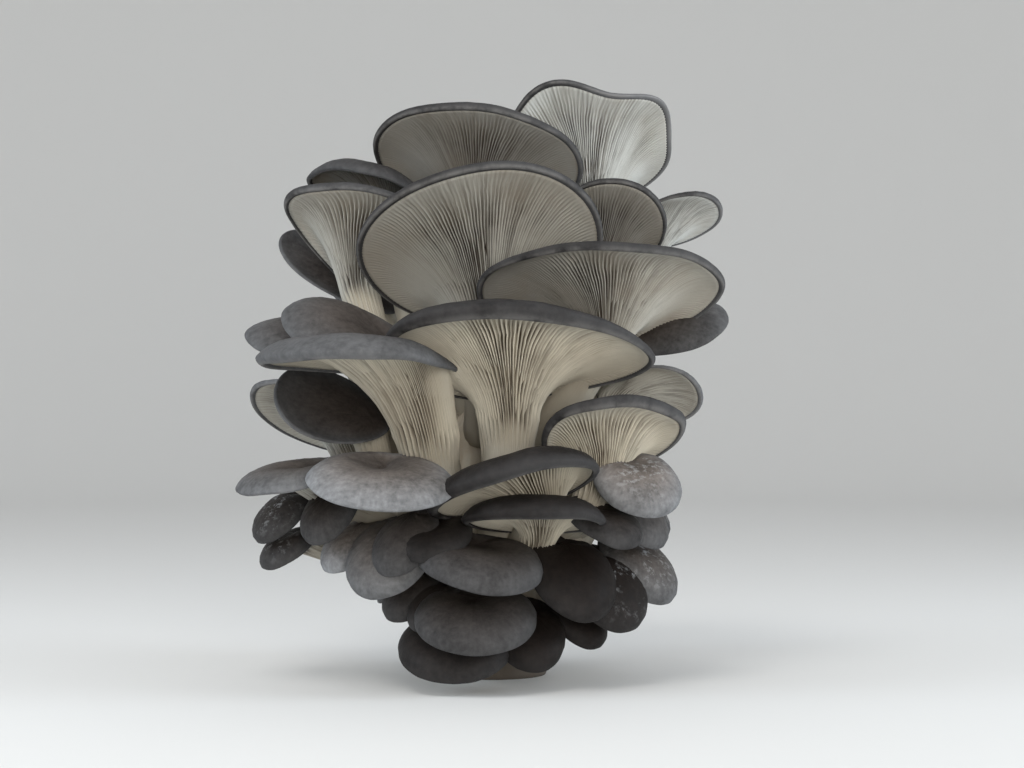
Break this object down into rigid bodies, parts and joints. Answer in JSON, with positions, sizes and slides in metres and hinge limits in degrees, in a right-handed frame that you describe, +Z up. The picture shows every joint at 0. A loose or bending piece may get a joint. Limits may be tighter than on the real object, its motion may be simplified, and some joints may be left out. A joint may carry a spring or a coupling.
{
  "type": "oyster mushroom cluster",
  "caption": "Cluster of grown-together oyster mushrooms with dark caps, pale gills and a fused base, standing on its cut end.",
  "frame": {"origin": "middle of the flat cut face that the cluster stands on", "axes": "+Z up out of the cut face, -Y towards the side that the picture shows, +X to its right"},
  "size_m": [0.2186, 0.2012, 0.2706],
  "materials": {
    "cap_skin": "dark grey-brown cap skin with a blue-grey bloom, fine radial fibres and a soft sheen",
    "pale_flesh": "pale warm grey gills and cream-white stems, matt and slightly fibrous"
  },
  "bodies": {
    "root": {"butt": "pale_flesh", "fan_front_centre": "pale_flesh", "fan_front_left": "pale_flesh", "fan_right": "pale_flesh", "fan_centre": "pale_flesh", "fan_top_left": "pale_flesh", "fan_top_right": "pale_flesh", "fan_right_front": "pale_flesh", "fan_left": "pale_flesh", "fan_right_back": "pale_flesh", "fan_far_right": "pale_flesh", "fan_left_rolled": "pale_flesh", "fan_left_spoon": "pale_flesh", "fan_left_folded": "pale_flesh", "fan_far_left": "pale_flesh", "fan_right_under": "pale_flesh", "fan_right_low": "pale_flesh", "shelf_rolled_upper": "pale_flesh", "shelf_rolled_lower": "pale_flesh", "shelf_left_front": "pale_flesh", "shelf_left": "pale_flesh", "shelf_left_dish": "pale_flesh", "shelf_left_edge": "pale_flesh", "shingle_middle_top": "cap_skin", "shingle_middle": "cap_skin", "shingle_bottom_left": "cap_skin", "shingle_bottom_right": "cap_skin", "shingle_right_inner": "cap_skin", "button_right_bottom": "cap_skin", "shingle_right_middle": "cap_skin", "shingle_right_outer": "cap_skin", "shingle_right_bright": "cap_skin", "shingle_right_upper": "cap_skin", "shingle_right_back": "cap_skin", "button_right_edge": "cap_skin", "shingle_left_inner": "cap_skin", "button_left_inner": "cap_skin", "shingle_left_large": "cap_skin", "button_left_outer": "cap_skin", "button_far_left_upper": "cap_skin", "button_far_left_lower": "cap_skin", "button_left_pale": "cap_skin", "button_left_low": "cap_skin", "button_left_lowest": "cap_skin", "back_fan_left": "pale_flesh", "back_fan_right": "pale_flesh", "back_fan_middle": "pale_flesh", "back_cap_left": "cap_skin", "back_cap_right": "cap_skin", "back_cap_low": "cap_skin", "back_button_left": "cap_skin", "back_button_right": "cap_skin"}
  },
  "joints": []
}
